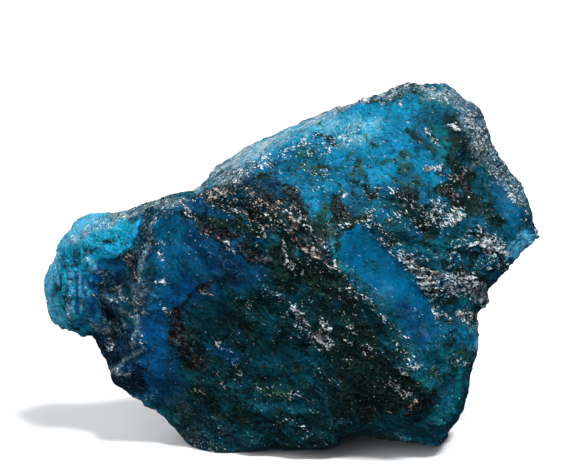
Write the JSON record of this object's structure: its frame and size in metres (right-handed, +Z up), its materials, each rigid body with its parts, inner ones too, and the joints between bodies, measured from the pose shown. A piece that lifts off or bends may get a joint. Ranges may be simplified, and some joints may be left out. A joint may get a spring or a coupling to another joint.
{
  "type": "rough sapphire crystal",
  "caption": "Rough, unpolished blue crystal lump with a broken, ledged front, a translucent knob at one end, and a flat side to rest on.",
  "frame": {"origin": "middle of the bounding box's bottom, on the side that the stone rests on", "axes": "+X to the right along the stone's longest side, -Y out of the broad broken front, +Z up"},
  "size_m": [0.0554, 0.031, 0.0403],
  "materials": {
    "crystal": "glassy broken crystal, deep blue to cyan, partly see-through at thin edges"
  },
  "bodies": {
    "root": {"stone": "crystal"}
  },
  "joints": []
}
